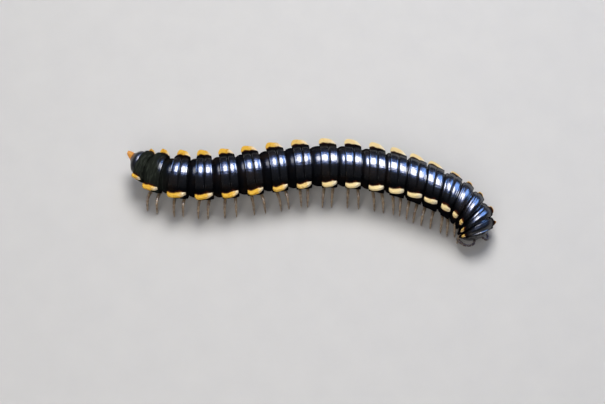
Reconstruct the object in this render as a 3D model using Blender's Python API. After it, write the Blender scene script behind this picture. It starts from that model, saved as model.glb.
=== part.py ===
"""A long-flange millipede, life size: twenty rings, head and feelers of one walking animal.

The head is toward +X and bends toward -Y, the tail is toward -X, and the feet stand on z = 0.
Lengths below are in millimetres and angles in degrees. The meshes are made metres at the end.
A place on the body is told by three numbers: how far along the middle line from the head end,
how far to the animal's left, and how far up from the middle line.
"""

import math

import bmesh
import bpy
import numpy as np
from mathutils import Vector

METRES = 0.001
GAP = 0.05
COLLECTION = "millipede"

# What is taken off every point, so that the middle of the whole is over the origin.
CENTRE = (0.0151, -0.3779, 0.0)

# Middle line of the body, from the head end to the tip of the tail.
MIDDLE_LINE = (
    (8.04, -2.90, 0.58),
    (7.79, -1.82, 1.02),
    (7.41, -1.33, 1.22),
    (5.99, -0.38, 1.36),
    (5.00, 0.06, 1.42),
    (3.43, 0.56, 1.42),
    (1.33, 0.86, 1.42),
    (-1.54, 0.65, 1.42),
    (-3.90, 0.29, 1.42),
    (-6.23, 0.25, 1.38),
    (-7.65, 0.68, 1.30),
    (-8.84, 1.72, 1.17),
)
ROLL = 16.0
ROLL_END = 7.6
ROLL_REACH = 4.6
SLANT = 16.0
SLANT_END = 10.5
SLANT_REACH = 6.5
TAIL_SLANT = 13.0
TAIL_SLANT_REACH = 3.0

# Rings. The second and later rings have a narrow front part and a wide rear part with keels.
# Girths are shares of the half width.
COLLUM_START = 0.36
RING_COUNT = 19
FRONT_PART = {2: 0.10, 3: 0.22, 4: 0.17, 5: 0.14, 6: 0.22, 7: 0.09, 9: 0.23, 10: 0.37, 11: 0.38, 12: 0.48,
              13: 0.41, 14: 0.41, 15: 0.37, 16: 0.36, 17: 0.35, 18: 0.42, 19: 0.20}
FRONT_PART_USUAL = 0.14
REAR_PART = {1: 0.36, 2: 0.34, 3: 0.34, 4: 0.38, 5: 0.60, 18: 0.66, 19: 0.48}
REAR_PART_USUAL = 0.80
KEEL_SPAN = {1: 2.12, 2: 2.28, 3: 2.36, 4: 2.50, 5: 2.64, 17: 2.68, 18: 2.38, 19: 1.80}
KEEL_SPAN_USUAL = 2.76
BODY_HALF = {1: 0.95, 2: 1.02, 3: 1.04, 4: 1.07, 17: 1.05, 18: 0.97, 19: 0.77}
BODY_HALF_USUAL = 1.09
HEIGHT_TO_WIDTH = 1.0
BELLY_TO_BACK = 0.88
FRONT_PART_GIRTH = 0.90
WAIST_GIRTH = 0.84
COLLUM_RIM_GIRTH = 0.72
COLLUM_HOOD = 0.06
COLLUM_LEAN = 0.34
RING_SIDES = 16

# Keels: how far they lie above the middle line, rise outward and reach past the ring at the rear.
KEEL_RISE = 0.30
KEEL_UPTURN = 0.10
KEEL_THICKNESS = 0.23
KEEL_DROP = 0.02
KEEL_TOOTH = 0.12
KEEL_LEAST_WIDTH = 0.10
KEEL_SIDES = 6
KEEL_STATIONS = 7

# Legs. Each joint is (outward, height above the floor, radius); the last one is the foot.
LEG_JOINTS = (
    (0.42, 0.62, 0.150),
    (0.72, 0.70, 0.145),
    (1.08, 0.88, 0.140),
    (1.27, 0.84, 0.130),
    (1.37, 0.58, 0.115),
    (1.44, 0.30, 0.090),
    (1.50, 0.00, 0.055),
)
LEG_ROOT_OUT = 0.26
LEG_ROOT_DEPTH = 0.48
LEG_ROOT_RADIUS = 0.14
LEG_SIDES = 5
LEG_PLACES = {"single": (0.52,), "double": (0.24, 0.80)}
SINGLE_LEGGED = (2, 3, 4)
LAST_LEGGED = 18
STEP_SWING = 0.17
STEP_LIFT = 0.16
STEP_PERIOD = 9
FIRST_LEGS_REACH = 0.84
BEND_LEGS_REACH = 0.86
FULL_REACH_AT = 6.0
FULL_HEIGHT = 1.42

# Tail.
TAIL_SIDES = 16
TAIL_STATIONS = 7
TAIL_ROOT_WIDTH = 0.66
TAIL_TIP_WIDTH = 0.13
TAIL_TIP_HEIGHT = 0.08
TAIL_RISE = 0.16
VALVE_RADIUS = 0.27
VALVE_PLACE = 0.28
VALVE_OUT = 0.17
VALVE_DEPTH = 0.22

# Head and feelers.
HEAD_LENGTH = 1.10
HEAD_WIDTH = 1.36
HEAD_DEPTH = 0.80
HEAD_NOD = 86.0
HEAD_SIDES = 20
HEAD_SETBACK = -0.20
HEAD_NECK = 0.38
HEAD_CLEARANCE = 0.09
HEAD_PLACES = (0.0, 0.06, 0.17, 0.32, 0.48, 0.63, 0.77, 0.90, 1.0)
HEAD_WIDTHS = (0.52, 0.78, 0.94, 1.0, 1.0, 0.95, 0.84, 0.68, 0.48)
HEAD_DEPTHS = (0.55, 0.80, 0.95, 1.0, 0.97, 0.88, 0.72, 0.54, 0.34)
FEELER_ROOT = (0.02, 0.22)
FEELER_ROOT_RADIUS = 0.10
FEELER_JOINTS = (
    (0.05, 0.36, 0.52, 0.100),
    (0.14, 0.54, 0.51, 0.100),
    (0.26, 0.68, 0.41, 0.105),
    (0.38, 0.75, 0.25, 0.110),
    (0.50, 0.76, 0.09, 0.115),
    (0.60, 0.71, -0.02, 0.105),
    (0.65, 0.66, -0.06, 0.050),
)
FEELER_CLEARANCE = 0.08
FEELER_SIDES = 8

BLACK = (0.012, 0.013, 0.018)
DARK_BROWN = (0.035, 0.022, 0.016)
ORANGE_YELLOW = (0.75, 0.36, 0.05)


def clear_scene():
    """Removes whatever objects the file opens with."""
    for thing in list(bpy.data.objects):
        bpy.data.objects.remove(thing, do_unlink=True)


def smooth_step(value):
    """0 below 0, 1 above 1 and a soft rise between."""
    value = min(max(value, 0.0), 1.0)
    return value * value * (3.0 - 2.0 * value)


def middle_curve(points, samples=1500):
    """Natural cubic curve through the points, with the distance along it at each sample."""
    points = np.array(points)
    steps = np.linalg.norm(np.diff(points, axis=0), axis=1)
    knots = np.concatenate([[0.0], np.cumsum(steps)])
    count = len(knots)
    system = np.eye(count)
    right = np.zeros((count, 3))
    for i in range(1, count - 1):
        before = steps[i - 1]
        after = steps[i]
        system[i, i - 1:i + 2] = (before, 2.0 * (before + after), after)
        right[i] = 6.0 * ((points[i + 1] - points[i]) / after - (points[i] - points[i - 1]) / before)
    bend = np.linalg.solve(system, right)
    at = np.linspace(0.0, knots[-1], samples)
    k = np.clip(np.searchsorted(knots, at, side="right") - 1, 0, count - 2)
    step = steps[k][:, None]
    a = (knots[k + 1] - at)[:, None] / step
    b = (at - knots[k])[:, None] / step
    curve = a * points[k] + b * points[k + 1]
    curve += ((a ** 3 - a) * bend[k] + (b ** 3 - b) * bend[k + 1]) * step ** 2 / 6.0
    lengths = np.linalg.norm(np.diff(curve, axis=0), axis=1)
    return curve, np.concatenate([[0.0], np.cumsum(lengths)])


CURVE, CURVE_LENGTHS = middle_curve(MIDDLE_LINE)
BODY_LENGTH = float(CURVE_LENGTHS[-1])


def middle(along):
    """Point of the middle line at a distance from the head end; past an end it runs straight on."""
    inside = min(max(along, 0.0), BODY_LENGTH)
    point = Vector([float(np.interp(inside, CURVE_LENGTHS, CURVE[:, i])) for i in range(3)])
    if along == inside:
        return point
    return point - forward_raw(inside) * (along - inside)


def forward_raw(along):
    """Direction of the middle line toward the head."""
    reach = 0.05
    low = min(max(along - reach, 0.0), BODY_LENGTH - 2.0 * reach)
    high = low + 2.0 * reach
    ends = [Vector([float(np.interp(at, CURVE_LENGTHS, CURVE[:, i])) for i in range(3)])
            for at in (low, high)]
    return (ends[0] - ends[1]).normalized()


def axes(along):
    """Forward, left and up directions of the body's cross-section at a place along it."""
    forward = forward_raw(along)
    front_slant = SLANT * smooth_step((SLANT_END - along) / SLANT_REACH)
    tail_slant = TAIL_SLANT * smooth_step((along - BODY_LENGTH + TAIL_SLANT_REACH) / TAIL_SLANT_REACH)
    slant = math.radians(front_slant + tail_slant)
    turned = (forward.x * math.cos(slant) - forward.y * math.sin(slant),
              forward.x * math.sin(slant) + forward.y * math.cos(slant))
    forward = Vector((turned[0], turned[1], forward.z))
    left = Vector((0.0, 0.0, 1.0)).cross(forward).normalized()
    up = forward.cross(left).normalized()
    roll = math.radians(ROLL) * smooth_step((ROLL_END - along) / ROLL_REACH)
    rolled_left = left * math.cos(roll) - up * math.sin(roll)
    rolled_up = up * math.cos(roll) + left * math.sin(roll)
    return forward, rolled_left, rolled_up


def on_body(along, left, up):
    """World point, in millimetres, of a place told by the body's own three numbers."""
    _, to_left, to_up = axes(along)
    return middle(along) + to_left * left + to_up * up


def ring_layout():
    """Start, end of the front part, end, keel half span and body half width of each ring."""
    rings = {}
    start = COLLUM_START
    for number in range(1, RING_COUNT + 1):
        front = 0.0 if number == 1 else FRONT_PART.get(number, FRONT_PART_USUAL)
        rear = REAR_PART.get(number, REAR_PART_USUAL)
        half_span = KEEL_SPAN.get(number, KEEL_SPAN_USUAL) / 2.0
        half_width = BODY_HALF.get(number, BODY_HALF_USUAL)
        rings[number] = (start, start + front, start + front + rear, half_span, half_width)
        start += front + rear
    return rings


RINGS = ring_layout()
TAIL_START = RINGS[RING_COUNT][2]


def tube(stations, sides, place):
    """Closed tube whose points are put in place by a function of (share of length, angle)."""
    mesh = bmesh.new()
    bmesh.ops.create_cone(mesh, cap_ends=True, segments=sides, radius1=1.0, radius2=1.0, depth=1.0)
    upright = [edge for edge in mesh.edges if abs(edge.verts[0].co.z - edge.verts[1].co.z) > 0.5]
    bmesh.ops.subdivide_edges(mesh, edges=upright, cuts=stations - 2)
    for vert in mesh.verts:
        vert.co = place(vert.co.z + 0.5, math.atan2(vert.co.y, vert.co.x))
    bmesh.ops.triangulate(mesh, faces=mesh.faces)
    if mesh.calc_volume(signed=True) < 0.0:
        bmesh.ops.reverse_faces(mesh, faces=mesh.faces)
    return mesh


def pick(values, share):
    """Value of a list of numbers or tuples at a share 0 to 1 of its length, straight between."""
    place = min(max(share, 0.0), 1.0) * (len(values) - 1)
    low = min(int(place), len(values) - 2)
    part = place - low
    if isinstance(values[0], (tuple, list)):
        return [a + (b - a) * part for a, b in zip(values[low], values[low + 1])]
    return values[low] + (values[low + 1] - values[low]) * part


def section(along, half_width, half_height, angle, rise=0.0):
    """Point of an egg-shaped cross-section of the body, flatter on the belly."""
    up = half_height * math.sin(angle)
    if up < 0.0:
        up *= BELLY_TO_BACK
    return on_body(along, half_width * math.cos(angle), up + rise)


def ring_body(number):
    """Trunk of one ring: narrow front part, waist, swollen rear part and rounded rear margin."""
    start, waist, end, _, half_width = RINGS[number]
    start += GAP / 2.0
    end -= GAP / 2.0
    rear = end - waist
    profile = (
        (start, FRONT_PART_GIRTH - 0.02),
        (start + 0.4 * (waist - start), FRONT_PART_GIRTH),
        (waist, WAIST_GIRTH),
        (waist + 0.16 * rear, 0.97),
        (waist + 0.50 * rear, 1.00),
        (waist + 0.88 * rear, 1.01),
        (end, 0.95),
    )

    def place(share, angle):
        along, girth = pick(profile, share)
        return section(along, half_width * girth, half_width * girth * HEIGHT_TO_WIDTH, angle)

    return tube(len(profile), RING_SIDES, place)


def collum_point(along, girth, angle):
    """Point of the first ring, whose front rim reaches over the head and leans back below."""
    start, _, end, _, half_width = RINGS[1]
    height = half_width * girth * HEIGHT_TO_WIDTH
    up = height * math.sin(angle)
    lean = COLLUM_LEAN * (half_width - up) / (2.0 * half_width) - COLLUM_HOOD
    along += lean * (end - along) / (end - start)
    return section(along, half_width * girth, height, angle)


def collum_body():
    """Shield-like first ring: thickest above, thin below where the head hangs, and legless."""
    start, _, end, _, _ = RINGS[1]
    start += GAP / 2.0
    end -= GAP / 2.0
    length = end - start
    profile = (
        (start, COLLUM_RIM_GIRTH),
        (start + 0.12 * length, 0.86),
        (start + 0.38 * length, 0.99),
        (start + 0.75 * length, 1.03),
        (end, 0.99),
    )

    def place(share, angle):
        along, girth = pick(profile, share)
        return collum_point(along, girth, angle)

    return tube(len(profile), RING_SIDES, place)


def keel(number, side):
    """Flat lobe on the side of a ring: round front corner, rear corner drawn out into a tooth."""
    _, waist, end, half_span, half_width = RINGS[number]
    rear = end - waist
    tooth = -GAP if number == 1 else KEEL_TOOTH * rear / REAR_PART_USUAL
    rise = KEEL_RISE * half_span / (KEEL_SPAN_USUAL / 2.0)
    inner = (0.65, 0.63, 0.63, 0.63, 0.70, 0.95, 1.08)
    outer = (0.70, 0.86, 0.955, 0.99, 1.0, 0.995, 0.96)
    thick = (0.45, 0.8, 1.0, 1.0, 1.0, 0.8, 0.35)
    places = (0.03, 0.10, 0.25, 0.48, 0.70, 0.84, 1.0)

    def place(share, angle):
        high = pick(outer, share) * half_span
        low = min(pick(inner, share) * half_width, high - KEEL_LEAST_WIDTH)
        along = waist + (rear + tooth) * pick(places, share)
        centre = (low + high) / 2.0
        reach = (high - low) / 2.0
        out = centre + reach * math.cos(angle)
        lift = rise - KEEL_DROP + KEEL_UPTURN * (out - half_width) / (half_span - half_width)
        up = lift + KEEL_THICKNESS / 2.0 * pick(thick, share) * math.sin(angle)
        return on_body(along, side * out, up)

    return tube(KEEL_STATIONS, KEEL_SIDES, place)


def leg_path(number, which, side, count):
    """Joints of one leg as (point, radius), from inside the belly to the foot on the floor."""
    _, waist, end, _, half_width = RINGS[number]
    kind = "single" if number in SINGLE_LEGGED else "double"
    along = waist + (end - waist) * LEG_PLACES[kind][which]
    _, to_left, to_up = axes(along)
    flat_left = Vector((to_left.x, to_left.y, 0.0)).normalized()
    flat_forward = Vector((flat_left.y, -flat_left.x, 0.0))
    base = middle(along)
    reach = 1.0
    if side < 0:
        reach = BEND_LEGS_REACH + (1.0 - BEND_LEGS_REACH) * smooth_step(along / FULL_REACH_AT)
    if number in SINGLE_LEGGED:
        reach *= FIRST_LEGS_REACH
    reach *= 0.90 + 0.10 * half_width / BODY_HALF_USUAL
    phase = 2.0 * math.pi * (count / STEP_PERIOD + (0.5 if side > 0 else 0.0))
    swing = STEP_SWING * math.sin(phase)
    lift = STEP_LIFT * max(0.0, math.cos(phase) - 0.55) / 0.45
    path = [(on_body(along, side * LEG_ROOT_OUT, -LEG_ROOT_DEPTH * half_width), LEG_ROOT_RADIUS)]
    knee_lift = base.z / FULL_HEIGHT
    for out, height, radius in LEG_JOINTS:
        part = (out / LEG_JOINTS[-1][0]) ** 2
        raised = height * knee_lift + lift * part
        down = Vector((0.0, 0.0, -1.0)).lerp(-to_up, 1.0 - part)
        point = base + flat_left * (side * out * reach) + flat_forward * (swing * part)
        point += down * ((raised - base.z) / down.z)
        path.append((point, radius))
    return path


def limb(path, sides, flat_end):
    """Round limb along a path of (point, radius), with a level end where it stands on the floor."""
    points = [point for point, _ in path]
    directions = []
    for i in range(len(points)):
        ahead = points[min(i + 1, len(points) - 1)]
        behind = points[max(i - 1, 0)]
        directions.append((ahead - behind).normalized())
    if flat_end:
        directions[-1] = Vector((0.0, 0.0, -1.0))
    across = (points[-1] - points[0]).cross(Vector((0.0, 0.0, 1.0))).normalized()

    def place(share, angle):
        i = round(share * (len(path) - 1))
        point, radius = path[i]
        upward = directions[i].cross(across).normalized()
        side = upward.cross(directions[i]).normalized()
        return point + (side * math.cos(angle) + upward * math.sin(angle)) * radius

    return tube(len(path), sides, place)


def legs(number):
    """All the legs of one ring: one pair on rings two to four, two pairs on the later ones."""
    made = []
    kind = "single" if number in SINGLE_LEGGED else "double"
    for which in range(len(LEG_PLACES[kind])):
        count = number - 2 if kind == "single" else 3 + 2 * (number - 5) + which
        for side in (1, -1):
            made.append(limb(leg_path(number, which, side, count), LEG_SIDES, True))
    return made


def tail():
    """Last ring: a cone flattened to a blunt tip, over the two round valves below it."""
    start = TAIL_START + GAP / 2.0
    length = BODY_LENGTH - start
    widths = (TAIL_ROOT_WIDTH, 0.60, 0.53, 0.42, 0.29, 0.20, TAIL_TIP_WIDTH)
    heights = (TAIL_ROOT_WIDTH * HEIGHT_TO_WIDTH, 0.54, 0.44, 0.30, 0.18, 0.13, TAIL_TIP_HEIGHT)

    def cone(share, angle):
        rise = TAIL_RISE * share
        return section(start + length * share, pick(widths, share), pick(heights, share), angle, rise)

    pieces = [tube(TAIL_STATIONS, TAIL_SIDES, cone)]
    for side in (1, -1):
        valve = bmesh.new()
        bmesh.ops.create_icosphere(valve, subdivisions=2, radius=VALVE_RADIUS)
        centre = on_body(start + VALVE_PLACE * length, side * VALVE_OUT, -VALVE_DEPTH)
        bmesh.ops.translate(valve, verts=valve.verts, vec=centre)
        pieces.append(valve)
    return pieces


def head_axes():
    """Place of the head's neck end and its directions: toward the mouth, left, and to the crown."""
    along = COLLUM_START
    forward, left, up = axes(along)
    nod = math.radians(HEAD_NOD)
    toward_mouth = forward * math.cos(nod) - up * math.sin(nod)
    crown = forward * math.sin(nod) + up * math.cos(nod)
    neck = middle(along) + forward * HEAD_SETBACK
    return neck, toward_mouth, left, crown


def nape_plane():
    """Point and direction of the plane that the head ends at, just ahead of the first ring."""
    front = RINGS[1][0] + GAP / 2.0
    top = collum_point(front, COLLUM_RIM_GIRTH, math.pi / 2.0)
    bottom = collum_point(front, COLLUM_RIM_GIRTH, -math.pi / 2.0)
    left = axes(COLLUM_START)[1]
    ahead = left.cross(top - bottom).normalized()
    return (top + bottom) / 2.0 + ahead * HEAD_CLEARANCE, ahead


def on_head(toward, left, out):
    """World point of a place told by the head's own three numbers."""
    neck, toward_mouth, to_left, crown = head_axes()
    return neck + toward_mouth * toward + to_left * left + crown * out


def head_section(share):
    """Place toward the mouth, half width and half depth of the head at a share of its length."""
    return (HEAD_LENGTH * (pick(HEAD_PLACES, share) - HEAD_NECK), HEAD_WIDTH / 2.0 * pick(HEAD_WIDTHS, share),
            HEAD_DEPTH / 2.0 * pick(HEAD_DEPTHS, share))


def head():
    """Head capsule: broad cheeks, domed forehead and a narrower lip end, cut flat at the nape."""

    def capsule(share, angle):
        toward, half_width, half_depth = head_section(share)
        return on_head(toward, half_width * math.cos(angle), half_depth * math.sin(angle))

    mesh = tube(len(HEAD_PLACES), HEAD_SIDES, capsule)
    nape, ahead = nape_plane()
    everything = mesh.verts[:] + mesh.edges[:] + mesh.faces[:]
    cut = bmesh.ops.bisect_plane(mesh, geom=everything, plane_co=nape, plane_no=ahead, clear_inner=True)
    rim = [piece for piece in cut["geom_cut"] if isinstance(piece, bmesh.types.BMEdge)]
    bmesh.ops.edgeloop_fill(mesh, edges=rim)
    return mesh


def feeler(side):
    """Feeler as (point, radius), club-shaped toward its end, from its socket on the face."""
    toward, out = FEELER_ROOT
    share = min(range(101), key=lambda step: abs(head_section(step / 100.0)[0] - toward)) / 100.0
    _, half_width, half_depth = head_section(share)
    face = half_depth * math.sqrt(1.0 - (out / half_width) ** 2)
    path = [(on_head(toward, side * out, face + GAP), FEELER_ROOT_RADIUS)]
    for toward, out, crown, radius in FEELER_JOINTS:
        point = on_head(toward, side * out, crown)
        point.z = max(point.z, radius + FEELER_CLEARANCE)
        path.append((point, radius))
    return path


def as_object(name, mesh, colour, roughness):
    """Named object from a mesh in millimetres, scaled to metres, smooth, with its own material."""
    data = bpy.data.meshes.new(name)
    mesh.to_mesh(data)
    mesh.free()
    thing = bpy.data.objects.new(name, data)
    bpy.data.collections[COLLECTION].objects.link(thing)
    material = bpy.data.materials.new(name)
    material.use_nodes = True
    shader = material.node_tree.nodes["Principled BSDF"]
    shader.inputs["Base Color"].default_value = (*colour, 1.0)
    shader.inputs["Roughness"].default_value = roughness
    shader.inputs["Metallic"].default_value = 0.0
    data.materials.append(material)
    return thing


def largest_surface(mesh):
    """Keeps only the closed surface with the largest volume."""
    left = set(mesh.faces)
    surfaces = []
    while left:
        edge_of_search = [left.pop()]
        surface = list(edge_of_search)
        while edge_of_search:
            face = edge_of_search.pop()
            for edge in face.edges:
                for other in edge.link_faces:
                    if other in left:
                        left.remove(other)
                        surface.append(other)
                        edge_of_search.append(other)
        surfaces.append(surface)

    def volume(surface):
        total = 0.0
        for face in surface:
            first = face.verts[0].co
            for second, third in zip(face.verts[1:-1], face.verts[2:]):
                total += first.dot(second.co.cross(third.co)) / 6.0
        return total

    surfaces.sort(key=volume, reverse=True)
    scraps = [face for surface in surfaces[1:] for face in surface]
    if scraps:
        bmesh.ops.delete(mesh, geom=scraps, context="FACES")


def fuse(name, pieces, colour, roughness):
    """One closed body from overlapping pieces, the first of which is the largest."""
    thing = as_object(name, pieces[0], colour, roughness)
    if len(pieces) > 1:
        others = bpy.data.collections.new(name + "_pieces")
        bpy.context.scene.collection.children.link(others)
        for i, piece in enumerate(pieces[1:]):
            data = bpy.data.meshes.new(f"{name}_piece_{i}")
            piece.to_mesh(data)
            piece.free()
            others.objects.link(bpy.data.objects.new(data.name, data))
        join = thing.modifiers.new("join", "BOOLEAN")
        join.operation = "UNION"
        join.operand_type = "COLLECTION"
        join.solver = "EXACT"
        join.collection = others
        bpy.context.view_layer.update()
        fused = bpy.data.meshes.new_from_object(thing.evaluated_get(bpy.context.evaluated_depsgraph_get()))
        thing.modifiers.clear()
        thing.data = fused
        for piece in list(others.objects):
            bpy.data.objects.remove(piece, do_unlink=True)
        bpy.data.collections.remove(others)
    mesh = bmesh.new()
    mesh.from_mesh(thing.data)
    bmesh.ops.triangulate(mesh, faces=mesh.faces)
    largest_surface(mesh)
    bmesh.ops.translate(mesh, verts=mesh.verts, vec=-Vector(CENTRE))
    bmesh.ops.scale(mesh, verts=mesh.verts, vec=(METRES, METRES, METRES))
    mesh.to_mesh(thing.data)
    mesh.free()
    thing.data.shade_smooth()
    thing.data.set_sharp_from_angle(angle=math.radians(40.0))
    return thing


def build():
    """Makes every named piece of the animal."""
    clear_scene()
    gathered = bpy.data.collections.new(COLLECTION)
    bpy.context.scene.collection.children.link(gathered)
    fuse("head", [head()], BLACK, 0.25)
    for side, name in ((1, "antenna_left"), (-1, "antenna_right")):
        fuse(name, [limb(feeler(side), FEELER_SIDES, False)], DARK_BROWN, 0.4)
    fuse("collum", [collum_body(), keel(1, 1), keel(1, -1)], BLACK, 0.2)
    for number in range(2, RING_COUNT + 1):
        pieces = [ring_body(number), keel(number, 1), keel(number, -1)]
        if number <= LAST_LEGGED:
            pieces += legs(number)
        fuse(f"ring_{number:02d}", pieces, BLACK, 0.2)
    fuse("telson", tail(), ORANGE_YELLOW, 0.35)


build()
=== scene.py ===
"""Looks of a long-flange millipede, life size: shells, keels, legs, feelers, head and tail.

Shapes are worked out in millimetres, in the body's own numbers: how far along the middle line from
the head end, how far to the animal's left, and how far up from the middle line. Each finished mesh
is then moved to the frame's metres.
"""

import math
import random
from functools import lru_cache
import bmesh
import bpy
import numpy as np
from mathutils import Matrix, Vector

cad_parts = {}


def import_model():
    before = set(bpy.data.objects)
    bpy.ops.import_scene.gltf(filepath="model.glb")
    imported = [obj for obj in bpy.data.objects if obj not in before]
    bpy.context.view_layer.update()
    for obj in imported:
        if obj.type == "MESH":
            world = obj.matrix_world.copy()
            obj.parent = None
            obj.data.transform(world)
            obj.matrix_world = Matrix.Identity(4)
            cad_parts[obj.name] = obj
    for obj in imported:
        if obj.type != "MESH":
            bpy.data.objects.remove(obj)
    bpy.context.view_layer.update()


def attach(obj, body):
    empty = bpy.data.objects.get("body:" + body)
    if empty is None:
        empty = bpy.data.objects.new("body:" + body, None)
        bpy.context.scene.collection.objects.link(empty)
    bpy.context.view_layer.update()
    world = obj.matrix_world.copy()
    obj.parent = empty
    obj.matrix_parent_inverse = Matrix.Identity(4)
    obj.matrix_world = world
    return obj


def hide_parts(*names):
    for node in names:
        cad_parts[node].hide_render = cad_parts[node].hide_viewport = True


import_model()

METRES = 0.001
CENTRE = Vector((0.0151, -0.3779, 0.0))

# Middle line of the body, as the frame has it.
MIDDLE_LINE = (
    (8.04, -2.90, 0.58),
    (7.79, -1.82, 1.02),
    (7.41, -1.33, 1.22),
    (5.99, -0.38, 1.36),
    (5.00, 0.06, 1.42),
    (3.43, 0.56, 1.42),
    (1.33, 0.86, 1.42),
    (-1.54, 0.65, 1.42),
    (-3.90, 0.29, 1.42),
    (-6.23, 0.25, 1.38),
    (-7.65, 0.68, 1.30),
    (-8.84, 1.72, 1.17),
)
ROLL = 16.0
ROLL_END = 7.6
ROLL_REACH = 4.6
SLANT = 16.0
SLANT_END = 10.5
SLANT_REACH = 6.5
TAIL_SLANT = 13.0
TAIL_SLANT_REACH = 3.0

# Rings.
COLLUM_START = 0.36
RING_COUNT = 19
FRONT_PART = {2: 0.10, 3: 0.22, 4: 0.17, 5: 0.14, 6: 0.22, 7: 0.09, 9: 0.23, 10: 0.37, 11: 0.38, 12: 0.48,
              13: 0.41, 14: 0.41, 15: 0.37, 16: 0.36, 17: 0.35, 18: 0.42, 19: 0.20}
FRONT_PART_USUAL = 0.14
REAR_PART = {1: 0.36, 2: 0.34, 3: 0.34, 4: 0.38, 5: 0.60, 18: 0.66, 19: 0.48}
REAR_PART_USUAL = 0.80
KEEL_SPAN = {1: 2.12, 2: 2.28, 3: 2.36, 4: 2.50, 5: 2.64, 17: 2.68, 18: 2.38, 19: 1.80}
KEEL_SPAN_USUAL = 2.76
BODY_HALF = {1: 0.95, 2: 1.02, 3: 1.04, 4: 1.07, 17: 1.05, 18: 0.97, 19: 0.77}
BODY_HALF_USUAL = 1.09
HEIGHT_TO_WIDTH = 1.0
BELLY_TO_BACK = 0.88
COLLUM_HOOD = 0.06
COLLUM_LEAN = 0.34
KEEL_RISE = 0.30
KEEL_UPTURN = 0.10
KEEL_TOOTH = 0.12
KEEL_DROP = 0.02
TAIL_RISE = 0.16

# Points round a ring: belly, underside of the keel, its edge, its top and the back.
BELLY_STEPS = 16
KEEL_STEPS = 16
BACK_STEPS = 16
KEEL_HALF_THICKNESS = 0.105
SHOULDER_ABOVE = 0.20
SHOULDER_BELOW = 0.16
SHOULDER_FADE_ABOVE = 0.30
SHOULDER_FADE_BELOW = 0.40
FULL_REACH_PLACE = 0.66
REAR_CORNER_PLACE = 0.70
REAR_CORNER_CUT = 0.50

# Yellow edge of the keels: its width, narrow at both ends, and its share on the upper side of the
# first rings. The left keels are fuller in front, and their edge is wider and curves round the back.
YELLOW_WIDTH = 0.245
YELLOW_CLEAR = 0.005
YELLOW_ENDS = 0.08
YELLOW_START = 0.12
YELLOW_STEEPNESS = 1.5
LEFT_YELLOW = 1.35
LEFT_FULLNESS = 0.55
LEFT_BULGE = 0.075
LEFT_BULGE_EASE = 0.25
LEFT_YELLOW_ABOVE = {1: 0.3, 2: 0.3, 3: 0.35, 4: 0.4, 5: 0.5, 6: 0.75, 7: 0.9}
RIGHT_YELLOW_ABOVE = {1: 0.6, 2: 1.5, 3: 1.5, 4: 1.5, 5: 1.2, 6: 0.85, 7: 0.9}

# The back turns from dull to glossy above the keels, higher up on the left.
GLOSS_START = 0.10
GLOSS_FADE = 0.34
LEFT_DULL = 0.45

# Cross furrow of the back, the swellings before and behind it, and the beaded margins.
FURROWED_RINGS = range(5, 18)
SULCUS_PLACE = 0.50
SULCUS_WIDTH = 0.032
SULCUS_DEPTH = 0.042
SULCUS_FADE_START = 0.36
SULCUS_FADE = 0.22
SWELL = {2: 0.030, 3: 0.030, 4: 0.028, 5: 0.016, 6: 0.010, 7: 0.010, 8: 0.009, 9: 0.008, 10: 0.008,
         11: 0.010, 12: 0.020, 18: 0.022, 19: 0.010}
SWELL_USUAL = 0.024
BEAD = 0.008
SMOOTH_RINGS = (2, 3, 4)

# Legs: how far out and how high each joint of the frame's legs is, and how thick real legs are.
LEG_JOINTS = (
    (0.42, 0.62),
    (0.72, 0.70),
    (1.08, 0.88),
    (1.27, 0.84),
    (1.37, 0.58),
    (1.44, 0.30),
    (1.50, 0.00),
)
LEG_RADII = (0.098, 0.094, 0.090, 0.086, 0.074, 0.066, 0.052, 0.026)
LEG_ROOT_OUT = 0.26
LEG_ROOT_DEPTH = 0.48
LEG_PLACES = {"single": (0.52,), "double": (0.24, 0.80)}
SINGLE_LEGGED = (2, 3, 4)
LAST_LEGGED = 18
STEP_SWING = 0.17
STEP_LIFT = 0.16
STEP_LIFT_START = 0.55
STEP_PERIOD = 9
FIRST_LEGS_REACH = 0.84
BEND_LEGS_REACH = 0.86
FULL_REACH_AT = 6.0
FULL_HEIGHT = 1.42
LEG_SIDES = 10
LEG_STATIONS = 34
LEG_BRISTLES = 7

# Head and feelers.
HEAD_LENGTH = 1.10
HEAD_WIDTH = 1.36
HEAD_DEPTH = 0.80
HEAD_NOD = 86.0
HEAD_SETBACK = -0.20
HEAD_NECK = 0.38
HEAD_CLEARANCE = 0.05
HEAD_PLACES = (0.0, 0.06, 0.17, 0.32, 0.48, 0.63, 0.77, 0.90, 1.0)
HEAD_WIDTHS = (0.52, 0.78, 0.94, 1.0, 1.0, 0.95, 0.84, 0.68, 0.48)
HEAD_DEPTHS = (0.55, 0.80, 0.95, 1.0, 0.97, 0.88, 0.72, 0.54, 0.34)
FEELER_ROOT = (0.02, 0.22)
SOCKET_RADIUS = 0.10
FEELER_JOINTS = (
    (0.05, 0.36, 0.52, 0.100),
    (0.14, 0.54, 0.51, 0.100),
    (0.26, 0.68, 0.41, 0.105),
    (0.38, 0.75, 0.25, 0.110),
    (0.50, 0.76, 0.09, 0.115),
    (0.60, 0.71, -0.02, 0.105),
    (0.65, 0.66, -0.06, 0.050),
)
FEELER_CLEARANCE = 0.08
FEELER_ENDS = (0.0, 0.10, 0.27, 0.44, 0.60, 0.76, 0.92, 0.985, 1.0)
FEELER_GIRTHS = (0.060, 0.060, 0.063, 0.066, 0.070, 0.080, 0.076, 0.050)
FEELER_HAIRS = 90

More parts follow.
